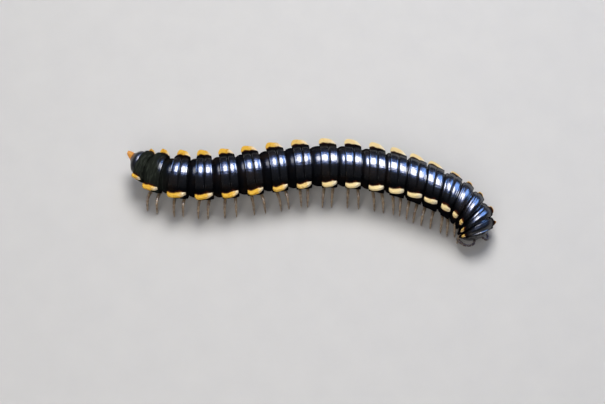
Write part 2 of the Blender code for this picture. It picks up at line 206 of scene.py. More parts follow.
# Camera: the photograph is 605 by 404 pixels, and a millimetre at the body is 20.8 of them.
PHOTO = (605, 404)
PIXELS_PER_MM = 20.8
CAMERA_ELEVATION = 60.0
CAMERA_DISTANCE = 100.0
AIM_POINT = Vector((0.0, 0.0, 1.77))
AIM_PIXEL = (310.0, 178.0)
SENSOR = 36.0


def smooth_step(value):
    """0 below 0, 1 above 1 and a soft rise between."""
    value = min(max(value, 0.0), 1.0)
    return value * value * (3.0 - 2.0 * value)


def between(low, high, share):
    """Straight mix of two values."""
    return low + (high - low) * share


def pick(values, share):
    """Value of a list of numbers at a share 0 to 1 of its length, straight between them."""
    place = min(max(share, 0.0), 1.0) * (len(values) - 1)
    low = min(int(place), len(values) - 2)
    return between(values[low], values[low + 1], place - low)


def smooth_curve(points, samples):
    """Natural cubic curve through the points, with the distance along it at each sample."""
    points = np.array(points)
    steps = np.linalg.norm(np.diff(points, axis=0), axis=1)
    knots = np.concatenate([[0.0], np.cumsum(steps)])
    count = len(knots)
    system = np.eye(count)
    right = np.zeros((count, 3))
    for i in range(1, count - 1):
        before = steps[i - 1]
        after = steps[i]
        system[i, i - 1:i + 2] = (before, 2.0 * (before + after), after)
        right[i] = 6.0 * ((points[i + 1] - points[i]) / after - (points[i] - points[i - 1]) / before)
    bend = np.linalg.solve(system, right)
    at = np.linspace(0.0, knots[-1], samples)
    k = np.clip(np.searchsorted(knots, at, side="right") - 1, 0, count - 2)
    step = steps[k][:, None]
    a = (knots[k + 1] - at)[:, None] / step
    b = (at - knots[k])[:, None] / step
    curve = a * points[k] + b * points[k + 1]
    curve += ((a ** 3 - a) * bend[k] + (b ** 3 - b) * bend[k + 1]) * step ** 2 / 6.0
    lengths = np.linalg.norm(np.diff(curve, axis=0), axis=1)
    return curve, np.concatenate([[0.0], np.cumsum(lengths)])


CURVE, CURVE_LENGTHS = smooth_curve(MIDDLE_LINE, 1500)
BODY_LENGTH = float(CURVE_LENGTHS[-1])


def on_curve(along):
    """Point of the middle line at a distance from the head end."""
    return Vector([float(np.interp(along, CURVE_LENGTHS, CURVE[:, i])) for i in range(3)])


@lru_cache(maxsize=None)
def place_and_axes(along):
    """Middle line's point and the forward, left and up directions at a place along the body."""
    inside = min(max(along, 0.0), BODY_LENGTH)
    reach = 0.05
    low = min(max(inside - reach, 0.0), BODY_LENGTH - 2.0 * reach)
    straight = (on_curve(low) - on_curve(low + 2.0 * reach)).normalized()
    point = on_curve(inside) - straight * (along - inside)
    front_slant = SLANT * smooth_step((SLANT_END - along) / SLANT_REACH)
    tail_slant = TAIL_SLANT * smooth_step((along - BODY_LENGTH + TAIL_SLANT_REACH) / TAIL_SLANT_REACH)
    slant = math.radians(front_slant + tail_slant)
    forward = Vector((straight.x * math.cos(slant) - straight.y * math.sin(slant),
                      straight.x * math.sin(slant) + straight.y * math.cos(slant), straight.z))
    left = Vector((0.0, 0.0, 1.0)).cross(forward).normalized()
    up = forward.cross(left).normalized()
    roll = math.radians(ROLL) * smooth_step((ROLL_END - along) / ROLL_REACH)
    rolled_left = left * math.cos(roll) - up * math.sin(roll)
    rolled_up = up * math.cos(roll) + left * math.sin(roll)
    return point, forward, rolled_left, rolled_up


def on_body(along, left, up):
    """World point, in millimetres, of a place told by the body's own three numbers."""
    point, _, to_left, to_up = place_and_axes(round(along, 4))
    return point + to_left * left + to_up * up


class Ring:
    """Measures of one ring: where it starts, its waist, its end and its half widths."""

    def __init__(self, number, start):
        front = 0.0 if number == 1 else FRONT_PART.get(number, FRONT_PART_USUAL)
        self.number = number
        self.start = start
        self.waist = start + front
        self.rear = REAR_PART.get(number, REAR_PART_USUAL)
        self.end = self.waist + self.rear
        self.half_span = KEEL_SPAN.get(number, KEEL_SPAN_USUAL) / 2.0
        self.half_width = BODY_HALF.get(number, BODY_HALF_USUAL)
        self.half_height = self.half_width * HEIGHT_TO_WIDTH
        self.rise = KEEL_RISE * self.half_span / (KEEL_SPAN_USUAL / 2.0) - KEEL_DROP
        self.keel_angle = math.asin(self.rise / self.half_height)
        self.keel_spread = KEEL_HALF_THICKNESS / self.half_height
        self.keel_reach = self.half_span - self.half_width * math.cos(self.keel_angle)
        self.tooth = 0.0 if number == 1 else KEEL_TOOTH * self.rear / REAR_PART_USUAL


def all_rings():
    """The rings by number, one behind the other."""
    rings = {}
    start = COLLUM_START
    for number in range(1, RING_COUNT + 1):
        rings[number] = Ring(number, start)
        start = rings[number].end
    return rings


RINGS = all_rings()
TAIL_START = RINGS[RING_COUNT].end


# Meshes

def tube(stations, sides, place, layers=()):
    """Closed tube; a function of (station, side) gives each point and its values in the layers."""
    mesh = bmesh.new()
    makers = {"straight": mesh.verts.layers.float_vector}
    for name in layers:
        makers.get(name, mesh.verts.layers.float).new(name)
    bmesh.ops.create_cone(mesh, cap_ends=True, segments=sides, radius1=1.0, radius2=1.0, depth=1.0)
    upright = [edge for edge in mesh.edges if abs(edge.verts[0].co.z - edge.verts[1].co.z) > 0.5]
    bmesh.ops.subdivide_edges(mesh, edges=upright, cuts=stations - 2)
    spots = [(round((vert.co.z + 0.5) * (stations - 1)),
              round(math.atan2(vert.co.y, vert.co.x) / (2.0 * math.pi) * sides) % sides)
             for vert in mesh.verts]
    made = [makers.get(name, mesh.verts.layers.float)[name] for name in layers]
    for vert, spot in zip(mesh.verts, spots):
        vert.co, *values = place(*spot)
        for layer, value in zip(made, values):
            vert[layer] = value
    if mesh.calc_volume(signed=True) < 0.0:
        bmesh.ops.reverse_faces(mesh, faces=mesh.faces)
    return mesh


def limb(path, sides, layers=()):
    """Round limb along a path of (point, radius, values), where values fill the named layers."""
    points = [point for point, _, _ in path]
    frames = []
    across = (points[-1] - points[0]).cross(Vector((0.0, 0.0, 1.0))).normalized()
    for i in range(len(points)):
        direction = (points[min(i + 1, len(points) - 1)] - points[max(i - 1, 0)]).normalized()
        upward = direction.cross(across).normalized()
        across = upward.cross(direction).normalized()
        frames.append((across.copy(), upward))

    def place(station, side):
        angle = 2.0 * math.pi * side / sides
        point, radius, values = path[station]
        across, upward = frames[station]
        return point + (across * math.cos(angle) + upward * math.sin(angle)) * radius, *values

    return tube(len(path), sides, place, layers)


def hair(root, direction, length, thickness):
    """One stiff hair: a thin three-sided spike."""
    mesh = bmesh.new()
    bmesh.ops.create_cone(mesh, cap_ends=True, segments=3, radius1=thickness, radius2=thickness * 0.15,
                          depth=length)
    bmesh.ops.translate(mesh, verts=mesh.verts, vec=(0.0, 0.0, length / 2.0))
    turn = direction.to_track_quat("Z", "Y").to_matrix()
    bmesh.ops.rotate(mesh, verts=mesh.verts, cent=(0.0, 0.0, 0.0), matrix=turn)
    bmesh.ops.translate(mesh, verts=mesh.verts, vec=root)
    return mesh


def join(meshes):
    """One mesh of several, which are used up."""
    data = bpy.data.meshes.new("gathered")
    joined = bmesh.new()
    for mesh in meshes:
        mesh.to_mesh(data)
        mesh.free()
        joined.from_mesh(data)
    bpy.data.meshes.remove(data)
    return joined


def finish_piece(name, mesh, material, nodes=(), sharp=50.0):
    """Named piece from a mesh in millimetres, riding on the body, in place of the given nodes."""
    bmesh.ops.translate(mesh, verts=mesh.verts, vec=-CENTRE)
    bmesh.ops.scale(mesh, verts=mesh.verts, vec=(METRES, METRES, METRES))
    data = bpy.data.meshes.new(name)
    mesh.to_mesh(data)
    mesh.free()
    data.shade_smooth()
    data.set_sharp_from_angle(angle=math.radians(sharp))
    data.materials.append(material)
    piece = bpy.data.objects.new(name, data)
    bpy.context.scene.collection.objects.link(piece)
    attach(piece, "root")
    if nodes:
        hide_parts(*nodes)


# Rings

def round_the_ring():
    """Spots round a ring from the middle of the belly up the left side and down the right.

    Each is (kind, number, side): a share of the way up the belly or the back, or an angle round the
    keel's edge from its underside to its top.
    """
    left = [("belly", i / BELLY_STEPS) for i in range(BELLY_STEPS)]
    left += [("keel", -math.pi / 2.0 + math.pi * i / KEEL_STEPS) for i in range(KEEL_STEPS)]
    left += [("back", i / BACK_STEPS) for i in range(BACK_STEPS + 1)]
    spots = [(kind, number, 1) for kind, number in left]
    spots += [(kind, number, -1) for kind, number in reversed(left[1:-1])]
    return spots


ROUND_THE_RING = round_the_ring()


def shell_stations(ring):
    """Stations along a ring: (along, girth, keel's reach, keel's tooth, sulcus).

    The last three are shares. The first and last stations lie inside the neighbouring rings.
    """
    rear = ring.rear
    waist = ring.waist
    front = waist - ring.start
    furrowed = ring.number in FURROWED_RINGS
    swells = {18: 3, 19: 3}.get(ring.number, 2 if furrowed else 1)
    bead = 0.0 if ring.number in SMOOTH_RINGS else BEAD
    stations = [
        (ring.start - 0.10, 0.55, 0, 0, 0),
        (ring.start - 0.10, 0.80, 0, 0, 0),
        (ring.start - 0.05, 0.885, 0, 0, 0),
    ]
    front_girths = ((0.06, 0.908), (0.25, 0.914), (0.45, 0.908), (0.62, 0.892), (0.78, 0.868), (0.90, 0.840))
    for share, girth in front_girths:
        stations.append((ring.start + share * (front - 0.02), girth, 0, 0, 0))
    stations += [
        (waist - 0.020, 0.815, 0, 0, 0),
        (waist + 0.006, 0.812, 0, 0, 0),
        (waist + 0.018, 0.850, 0, 0, 0),
        (waist + 0.026, 0.930, 0, 0, 0),
        (waist + 0.038, 0.960 + bead, 0.06, 0, 0),
        (waist + 0.054, 0.966 + bead, 0.10, 0, 0),
        (waist + 0.068, 0.970, 0.14, 0, 0),
        (waist + 0.080, 0.973, 0.17, 0, 0),
    ]
    steps = 26
    for i in range(steps):
        share = (i + 0.5) / steps
        along = waist + 0.09 + (rear - 0.15) * share
        grown = (along - waist - 0.03) / (rear - 0.03)
        tooth = smooth_step((grown - 0.40) / 0.60)
        from_sulcus = (along - waist - SULCUS_PLACE * rear) / SULCUS_WIDTH
        sulcus = math.exp(-from_sulcus ** 2) if furrowed else 0.0
        swell = SWELL.get(ring.number, SWELL_USUAL) * abs(math.sin(math.pi * swells * share)) ** 0.75
        stations.append((along, 0.974 + swell + 0.004 * share, keel_outline(grown), tooth, sulcus))
    stations += [
        (ring.end - 0.048, 0.978, keel_outline(0.94), 1.0, 0),
        (ring.end - 0.034, 0.978 + 1.6 * bead, keel_outline(0.958), 1.0, 0),
        (ring.end - 0.018, 0.977 + 1.8 * bead, keel_outline(0.978), 1.0, 0),
        (ring.end - 0.006, 0.972 + 1.2 * bead, keel_outline(0.992), 1.0, 0),
        (ring.end, 0.962, keel_outline(1.0) * 0.92, 1.0, 0),
        (ring.end - 0.004, 0.935, 0.0, 0.0, 0),
        (ring.end - 0.05, 0.905, 0, 0, 0),
        (ring.end - 0.10, 0.870, 0, 0, 0),
        (ring.end - 0.10, 0.50, 0, 0, 0),
    ]
    return stations


def keel_outline(grown):
    """Share of its full reach that a keel has at a share of its length: low in front, full at the rear."""
    if grown <= 0.0:
        return 0.0
    front = math.sin(math.pi / 2.0 * min(grown / FULL_REACH_PLACE, 1.0)) ** 0.90
    corner = max(0.0, (grown - REAR_CORNER_PLACE) / (1.0 - REAR_CORNER_PLACE))
    return front * (1.0 - REAR_CORNER_CUT * corner ** 2.0)


def shell_point(ring, along, girth, reach, tooth, sulcus, spot):
    """Body numbers of one point of a ring's shell, how yellow and glossy it is, and how far to the rear."""
    kind, number, side = spot
    on_left = side > 0
    low = ring.keel_angle - ring.keel_spread
    high = ring.keel_angle + ring.keel_spread
    gloss = 0.0
    if on_left and along < ring.waist + FULL_REACH_PLACE * ring.rear:
        reach **= LEFT_FULLNESS
    if kind == "belly":
        angle = between(-math.pi / 2.0, low, number)
        outward = SHOULDER_BELOW * reach * max(0.0, 1.0 - (low - angle) / SHOULDER_FADE_BELOW) ** 2
    elif kind == "back":
        angle = between(high, math.pi / 2.0, number)
        outward = SHOULDER_ABOVE * reach * max(0.0, 1.0 - (angle - high) / SHOULDER_FADE_ABOVE) ** 2
        start = GLOSS_START + (LEFT_DULL if on_left else 0.0)
        gloss = smooth_step((angle - high - start) / GLOSS_FADE)
    else:
        share = math.copysign(abs(math.sin(number)) ** 0.5, number)
        angle = ring.keel_angle + ring.keel_spread * share
        shoulder = SHOULDER_ABOVE if number > 0.0 else SHOULDER_BELOW
        outward = reach * (shoulder + (1.0 - shoulder) * math.cos(number))
    furrow = 1.0 - SULCUS_DEPTH * sulcus * smooth_step((math.sin(angle) - SULCUS_FADE_START) / SULCUS_FADE)
    left = ring.half_width * girth * furrow * math.cos(angle)
    up = ring.half_height * girth * furrow * math.sin(angle)
    if up < 0.0:
        up *= BELLY_TO_BACK
    left += outward * ring.keel_reach
    up += KEEL_UPTURN * outward ** 1.5
    rearward = (along - ring.waist) / ring.rear
    grown = min(max(rearward, 0.0), 1.0)
    dome = ring.half_width * girth * math.cos(ring.keel_angle)
    thick = YELLOW_WIDTH * math.sin(math.pi * (YELLOW_ENDS + (1.0 - 2.0 * YELLOW_ENDS) * grown)) ** 0.7
    if kind == "back" or kind == "keel" and number > 0.0:
        if on_left:
            thick *= LEFT_YELLOW * LEFT_YELLOW_ABOVE.get(ring.number, 1.0)
        else:
            thick *= RIGHT_YELLOW_ABOVE.get(ring.number, 1.0)
    border = max(dome + YELLOW_CLEAR, dome + reach * ring.keel_reach - thick)
    if on_left:
        border += LEFT_BULGE * (math.sin(math.pi * grown) - LEFT_BULGE_EASE)
    yellow = min(left - border, YELLOW_STEEPNESS * (outward - YELLOW_START))
    along += ring.tooth * tooth * outward ** 2.0
    return along, side * left, up, yellow, gloss, rearward


def shell(ring):
    """Shell of one ring with its keels, with the layers that its finish reads."""
    stations = shell_stations(ring) if ring.number > 1 else collum_stations(ring)

    def place(station, side):
        along, left, up, *looks = shell_point(ring, *stations[station], ROUND_THE_RING[side])
        if ring.number == 1:
            along = lean_back(ring, along, up)
        return on_body(along, left, up), Vector((along, left, up)), *looks

    return tube(len(stations), len(ROUND_THE_RING), place, ("straight", "keel", "gloss", "rearward"))


def lean_back(ring, along, up):
    """Where a place of the first ring comes to lie: its front rim hoods the head and leans back below."""
    lean = COLLUM_LEAN * (ring.half_width - up) / (2.0 * ring.half_width) - COLLUM_HOOD
    return along + lean * (ring.end - along) / ring.rear


def collum_stations(ring):
    """Stations of the first ring: a shield with a thin front rim and small rounded side lobes."""
    start = ring.start
    rear = ring.rear
    stations = [
        (start + 0.09, 0.50, 0, 0, 0),
        (start + 0.06, 0.76, 0, 0, 0),
        (start + 0.012, 0.800, 0, 0, 0),
        (start, 0.822, 0, 0, 0),
        (start + 0.004, 0.848, 0, 0, 0),
        (start + 0.016, 0.876, 0, 0, 0),
        (start + 0.030, 0.888, 0, 0, 0),
        (start + 0.044, 0.884, 0, 0, 0),
        (start + 0.056, 0.872, 0, 0, 0),
    ]
    steps = 14
    for i in range(steps):
        share = (i + 0.5) / steps
        along = start + 0.065 + (rear - 0.095) * share
        girth = 0.875 + 0.125 * math.sin(math.pi / 2.0 * min(share / 0.72, 1.0))
        reach = 0.90 * math.sin(math.pi * min(max((share - 0.05) / 0.9, 0.0), 1.0)) ** 0.6
        stations.append((along, girth, reach, 0.0, 0))
    stations += [
        (ring.end - 0.016, 1.000, 0.30, 0, 0),
        (ring.end - 0.006, 0.985, 0.10, 0, 0),
        (ring.end, 0.965, 0, 0, 0),
        (ring.end - 0.006, 0.94, 0, 0, 0),
        (ring.end - 0.05, 0.90, 0, 0, 0),
        (ring.end - 0.08, 0.50, 0, 0, 0),
    ]
    return stations


# Legs

def leg_path(number, which, side, count):
    """The frame's path of one leg, as points from inside the belly to the foot."""
    ring = RINGS[number]
    kind = "single" if number in SINGLE_LEGGED else "double"
    along = ring.waist + ring.rear * LEG_PLACES[kind][which]
    base, _, to_left, to_up = place_and_axes(round(along, 4))
    flat_left = Vector((to_left.x, to_left.y, 0.0)).normalized()
    flat_forward = Vector((flat_left.y, -flat_left.x, 0.0))
    reach = 1.0
    if side < 0:
        reach = BEND_LEGS_REACH + (1.0 - BEND_LEGS_REACH) * smooth_step(along / FULL_REACH_AT)
    if number in SINGLE_LEGGED:
        reach *= FIRST_LEGS_REACH
    reach *= 0.90 + 0.10 * ring.half_width / BODY_HALF_USUAL
    phase = 2.0 * math.pi * (count / STEP_PERIOD + (0.5 if side > 0 else 0.0))
    swing = STEP_SWING * math.sin(phase)
    lift = STEP_LIFT * max(0.0, math.cos(phase) - STEP_LIFT_START) / (1.0 - STEP_LIFT_START)
    points = [on_body(along, side * LEG_ROOT_OUT, -LEG_ROOT_DEPTH * ring.half_width)]
    knee_lift = base.z / FULL_HEIGHT
    for out, height in LEG_JOINTS:
        part = (out / LEG_JOINTS[-1][0]) ** 2
        raised = height * knee_lift + lift * part
        down = Vector((0.0, 0.0, -1.0)).lerp(-to_up, 1.0 - part)
        point = base + flat_left * (side * out * reach) + flat_forward * (swing * part)
        point += down * ((raised - base.z) / down.z)
        points.append(point)
    return points


def leg(points, chance):
    """One leg: coxa, prefemur, femur, postfemur, tibia, tarsus and claw, with its bristles."""
    curve, lengths = smooth_curve([tuple(point) for point in points], 120)
    knots = np.concatenate([[0.0], np.cumsum([(b - a).length for a, b in zip(points, points[1:])])])
    joints = [knots[i] / knots[-1] for i in (1, 2, 4, 5, 6)]
    stations = []
    for i in range(LEG_STATIONS):
        share = i / (LEG_STATIONS - 1)
        at = share * lengths[-1]
        point = Vector([float(np.interp(at, lengths, curve[:, axis])) for axis in range(3)])
        radius = float(np.interp(share * knots[-1], knots, LEG_RADII))
        nearest = min(abs(share - joint) * knots[-1] for joint in joints)
        pinch = math.exp(-(nearest / 0.035) ** 2)
        swell = math.exp(-((nearest - 0.08) / 0.05) ** 2)
        radius *= 1.0 - 0.26 * pinch + 0.08 * swell
        point.z = max(point.z, 0.75 * radius)
        stations.append((point, radius, (pinch, share)))
    foot = points[-1]
    stations[-1] = (Vector((foot.x, foot.y, max(foot.z, 0.0) + 0.012)), 0.014, (0.0, 1.0))
    pieces = [limb(stations, LEG_SIDES, ("joint", "reach"))]
    for _ in range(LEG_BRISTLES):
        i = chance.randrange(6, LEG_STATIONS - 2)
        point, radius, _ = stations[i]
        ahead = (stations[i + 1][0] - point).normalized()
        sideways = Vector([chance.uniform(-1.0, 1.0) for _ in range(3)])
        sideways = (sideways - ahead * sideways.dot(ahead)).normalized()
        root = point + sideways * radius * 0.9
        pieces.append(hair(root, (ahead * 0.9 + sideways).normalized(), chance.uniform(0.07, 0.12), 0.006))
    return pieces


def legs(number):
    """All the legs of one ring, joined."""
    pieces = []
    kind = "single" if number in SINGLE_LEGGED else "double"
    for which in range(len(LEG_PLACES[kind])):
        count = number - 2 if kind == "single" else 3 + 2 * (number - 5) + which
        for side in (1, -1):
            chance = random.Random(100 * count + side)
            pieces += leg(leg_path(number, which, side, count), chance)
    return join(pieces)


def sternum(number):
    """Plate between the legs of one ring: low, rounded, with a cross-shaped furrow."""
    ring = RINGS[number]
    mesh = bmesh.new()
    bmesh.ops.create_cube(mesh, size=2.0)
    bmesh.ops.bevel(mesh, geom=mesh.edges[:], offset=0.5, segments=3, profile=0.5, affect="EDGES",
                    material=-1)
    bmesh.ops.subdivide_edges(mesh, edges=mesh.edges[:], cuts=2, use_grid_fill=True)
    belly = -ring.half_height * BELLY_TO_BACK
    along_middle = ring.waist + 0.54 * ring.rear
    for vert in mesh.verts:
        x, y, z = vert.co
        furrow = 0.30 * (math.exp(-(x / 0.16) ** 2) + math.exp(-(y / 0.16) ** 2)) * (z < 0.0)
        vert.co = on_body(along_middle + x * 0.42 * ring.rear, y * 0.30, belly + 0.03 + (z + furrow) * 0.07)
    return mesh


# Head, feelers and tail

def on_head(toward, left, out):
    """World point of a place told by the head's own three numbers: to the mouth, left and crown."""
    point, forward, to_left, up = place_and_axes(COLLUM_START)
    nod = math.radians(HEAD_NOD)
    toward_mouth = forward * math.cos(nod) - up * math.sin(nod)
    crown = forward * math.sin(nod) + up * math.cos(nod)
    return point + forward * HEAD_SETBACK + toward_mouth * toward + to_left * left + crown * out


def head_section(share):
    """Place toward the mouth, half width and half depth of the head at a share of its length."""
    fine = [float(np.interp(share, np.linspace(0.0, 1.0, len(HEAD_PLACES)), values))
            for values in (HEAD_PLACES, HEAD_WIDTHS, HEAD_DEPTHS)]
    return (HEAD_LENGTH * (fine[0] - HEAD_NECK), HEAD_WIDTH / 2.0 * fine[1], HEAD_DEPTH / 2.0 * fine[2])


def face_height(toward, out):
    """How far the face stands out at a place on the head."""
    share = min(range(201), key=lambda step: abs(head_section(step / 200.0)[0] - toward)) / 200.0
    _, half_width, half_depth = head_section(share)
    return half_depth * math.sqrt(max(0.0, 1.0 - (out / half_width) ** 2))


def head():
    """Head capsule with its middle furrow, cheeks, brow over the feelers' sockets and lip plate."""
    stations = 44
    sides = 72

    def place(station, side):
        share = station / (stations - 1)
        angle = 2.0 * math.pi * side / sides
        toward, half_width, half_depth = head_section(share)
        left = half_width * math.cos(angle)
        out = half_depth * math.sin(angle)
        face = smooth_step(math.sin(angle) / 0.5)
        furrow = 0.030 * math.exp(-(left / 0.035) ** 2) * smooth_step((0.42 - share) / 0.15) * face
        from_socket = math.hypot(abs(left) - FEELER_ROOT[1], toward - FEELER_ROOT[0]) / SOCKET_RADIUS
        socket = math.exp(-from_socket ** 2)
        lip = 0.030 * smooth_step((share - 0.74) / 0.05) * face * smooth_step((0.34 - abs(left)) / 0.06)
        cheek = 0.05 * math.exp(-((share - 0.62) / 0.16) ** 2) * math.exp(-(math.sin(angle) / 0.5) ** 2)
        notch = 0.05 * math.exp(-(left / 0.06) ** 2) * smooth_step((share - 0.93) / 0.07)
        out -= (furrow + 0.035 * socket * face)
        out += lip
        left *= 1.0 + cheek
        return on_head(toward - notch, left, out), share

    mesh = tube(stations, sides, place, ("mouthward",))
    ring = RINGS[1]
    ends = [on_body(lean_back(ring, ring.start, up), 0.0, up) for up in (0.80, -0.70)]
    ahead = place_and_axes(COLLUM_START)[2].cross(ends[0] - ends[1]).normalized()
    nape = (ends[0] + ends[1]) / 2.0 + ahead * HEAD_CLEARANCE
    everything = mesh.verts[:] + mesh.edges[:] + mesh.faces[:]
    cut = bmesh.ops.bisect_plane(mesh, geom=everything, plane_co=nape, plane_no=ahead, clear_inner=True)
    rim = [piece for piece in cut["geom_cut"] if isinstance(piece, bmesh.types.BMEdge)]
    bmesh.ops.edgeloop_fill(mesh, edges=rim)
    return mesh


def mouth_parts():
    """Jaw bases at the sides of the mouth and the chin plate behind it."""
    pieces = []
    for side in (1, -1):
        jaw = bmesh.new()
        bmesh.ops.create_uvsphere(jaw, u_segments=24, v_segments=14, radius=1.0)
        for vert in jaw.verts:
            x, y, z = vert.co
            vert.co = on_head(0.40 + 0.19 * x, side * (0.36 + 0.15 * y), -0.06 + 0.19 * z)
        pieces.append(jaw)
    for side in (1, -1):
        chin = bmesh.new()
        bmesh.ops.create_uvsphere(chin, u_segments=24, v_segments=14, radius=1.0)
        for vert in chin.verts:
            x, y, z = vert.co
            vert.co = on_head(0.34 + 0.27 * x, side * (0.13 + 0.125 * y), -0.24 + 0.11 * z)
        pieces.append(chin)
    mesh = join(pieces)
    bmesh.ops.recalc_face_normals(mesh, faces=mesh.faces)
    return mesh


def feeler(side, chance):
    """Feeler of seven joints, each swelling toward its end, with fine hairs and a pale tip."""
    toward, out = FEELER_ROOT
    path = [on_head(toward, side * out, face_height(toward, out) - 0.03)]
    for toward, out, crown, radius in FEELER_JOINTS:
        point = on_head(toward, side * out, crown)
        point.z = max(point.z, radius + FEELER_CLEARANCE)
        path.append(point)
    curve, lengths = smooth_curve([tuple(point) for point in path], 160)
    stations = []
    for girth, low, high in zip(FEELER_GIRTHS, FEELER_ENDS, FEELER_ENDS[1:]):
        steps = 3 if high - low < 0.05 else 9
        for i in range(steps):
            part = i / (steps - 1)
            at = between(low, high, 0.04 + 0.92 * part) * lengths[-1]
            point = Vector([float(np.interp(at, lengths, curve[:, axis])) for axis in range(3)])
            club = 0.60 + 0.40 * math.sin(math.pi * (0.08 + 0.70 * part)) ** 0.7
            end_round = 0.72 if i in (0, steps - 1) else 1.0
            pinch = 1.0 if i in (0, steps - 1) else 0.0
            stations.append((point, girth * club * end_round, (pinch, at / lengths[-1])))
    pieces = [limb(stations, 16, ("joint", "reach"))]
    for _ in range(FEELER_HAIRS):
        i = chance.randrange(3, len(stations) - 2)
        point, radius, _ = stations[i]
        ahead = (stations[i + 1][0] - stations[i - 1][0]).normalized()
        sideways = Vector([chance.uniform(-1.0, 1.0) for _ in range(3)])
        sideways = (sideways - ahead * sideways.dot(ahead)).normalized()
        root = point + sideways * radius * 0.92
        pieces.append(hair(root, (ahead * 1.3 + sideways).normalized(), chance.uniform(0.06, 0.10), 0.005))
    return join(pieces)


def tail():
    """Last ring: a short black ring that narrows to the orange cone over the vent."""
    start = TAIL_START - 0.10
    length = BODY_LENGTH - start
    widths = (0.40, 0.58, 0.60, 0.60, 0.585, 0.54, 0.46, 0.36, 0.27, 0.215, 0.185, 0.16, 0.135, 0.09)
    heights = (0.38, 0.545, 0.56, 0.56, 0.54, 0.49, 0.41, 0.31, 0.215, 0.155, 0.125, 0.105, 0.090, 0.06)
    stations = 44
    sides = 48

    def place(station, side):
        share = station / (stations - 1)
        angle = 2.0 * math.pi * side / sides
        up = pick(heights, share) * math.sin(angle)
        if up < 0.0:
            up *= BELLY_TO_BACK
        along = start + length * share
        return on_body(along, pick(widths, share) * math.cos(angle), up + TAIL_RISE * share), share

    return tube(stations, sides, place, ("tailward",))


def vent_valves():
    """Two round valves that close the vent, and the small scale below them."""
    pieces = []
    length = BODY_LENGTH - TAIL_START
    for side in (1, -1):
        valve = bmesh.new()
        bmesh.ops.create_uvsphere(valve, u_segments=24, v_segments=16, radius=1.0)
        for vert in valve.verts:
            x, y, z = vert.co
            along = TAIL_START + 0.36 * length + 0.24 * x
            vert.co = on_body(along, side * (0.150 + 0.140 * y), -0.19 + 0.25 * z)
        pieces.append(valve)
    scale = bmesh.new()
    bmesh.ops.create_uvsphere(scale, u_segments=20, v_segments=12, radius=1.0)
    for vert in scale.verts:
        x, y, z = vert.co
        vert.co = on_body(TAIL_START + 0.26 * length + 0.20 * x, 0.17 * y * (1.0 - 0.4 * x), -0.42 + 0.06 * z)
    pieces.append(scale)
    mesh = join(pieces)
    bmesh.ops.recalc_face_normals(mesh, faces=mesh.faces)
    return mesh


def tail_hairs():
    """Stiff hairs round the tip of the tail."""
    pieces = []
    _, forward, left, up = place_and_axes(round(BODY_LENGTH - 0.02, 4))
    for side in (1, -1):
        for back, out, rise in ((0.04, 0.10, 0.10), (0.12, 0.15, 0.14), (0.26, 0.19, 0.16), (0.02, 0.05, 0.06)):
            root = on_body(BODY_LENGTH - back, side * out, rise)
            pieces.append(hair(root, (-forward + left * side * 0.5 + up * 0.25).normalized(), 0.16, 0.006))
    return join(pieces)


# Materials

class Value:
    """A number that a material works out, with the usual signs for sums on it."""

    def __init__(self, finish, socket):
        self.finish = finish
        self.socket = socket

    def sum(self, operation, first, second):
        return self.finish.node("ShaderNodeMath", {"operation": operation}, {0: first, 1: second})

    def __add__(self, other):
        return self.sum("ADD", self, other)

    def __radd__(self, other):
        return self.sum("ADD", other, self)

    def __sub__(self, other):
        return self.sum("SUBTRACT", self, other)

    def __rsub__(self, other):
        return self.sum("SUBTRACT", other, self)

    def __mul__(self, other):
        return self.sum("MULTIPLY", self, other)

    def __rmul__(self, other):
        return self.sum("MULTIPLY", other, self)


class Finish:
    """A material under construction around one Principled shader."""

    def __init__(self, name, **constants):
        self.material = bpy.data.materials.new(name)
        self.material.use_nodes = True
        self.nodes = self.material.node_tree.nodes
        self.links = self.material.node_tree.links
        self.shader = self.nodes["Principled BSDF"]
        for socket, value in constants.items():
            self.shader.inputs[socket.replace("_", " ")].default_value = value

    def node(self, kind, settings, inputs, output=0):
        """A node with its settings first and then its sockets' values or links."""
        made = self.nodes.new(kind)
        for key, value in settings.items():
            setattr(made, key, value)
        for socket, value in inputs.items():
            if isinstance(value, Value):
                self.links.new(value.socket, made.inputs[socket])
            else:
                made.inputs[socket].default_value = value
        return Value(self, made.outputs[output])

    def feed(self, socket, value):
        """Links a value to the shader."""
        self.links.new(value.socket, self.shader.inputs[socket])

    def blend(self, share, other):
        """Shows another shader by a share that varies over the surface."""
        first = Value(self, self.shader.outputs[0])
        mixed = self.node("ShaderNodeMixShader", {}, {0: share, 1: first, 2: other})
        self.links.new(mixed.socket, self.nodes["Material Output"].inputs["Surface"])

    def attribute(self, name, output="Fac"):
        return self.node("ShaderNodeAttribute", {"attribute_name": name}, {}, output)

    def in_millimetres(self):
        """Object coordinates, in millimetres."""
        place = self.node("ShaderNodeTexCoord", {}, {}, "Object")
        return self.node("ShaderNodeVectorMath", {"operation": "SCALE"}, {0: place, "Scale": 1.0 / METRES})

    def stretched(self, vector, scale):
        """A vector with its three numbers scaled apart."""
        return self.node("ShaderNodeVectorMath", {"operation": "MULTIPLY"}, {0: vector, 1: scale})

    def noise(self, vector, scale, detail=3.0):
        return self.node("ShaderNodeTexNoise", {}, {"Vector": vector, "Scale": scale, "Detail": detail}, "Fac")

    def range(self, value, low, high):
        """0 at low, 1 at high, soft between and steady beyond."""
        settings = {"interpolation_type": "SMOOTHSTEP"}
        return self.node("ShaderNodeMapRange", settings, {"Value": value, "From Min": low, "From Max": high})

    def mix(self, share, first, second):
        """Colour mix."""
        settings = {"data_type": "RGBA"}
        return self.node("ShaderNodeMix", settings, {"Factor": share, "A": first, "B": second}, "Result")

    def bump(self, height, distance, strength):
        """Fine relief, distance in metres."""
        inputs = {"Height": height, "Distance": distance, "Strength": strength}
        self.feed("Normal", self.node("ShaderNodeBump", {}, inputs))


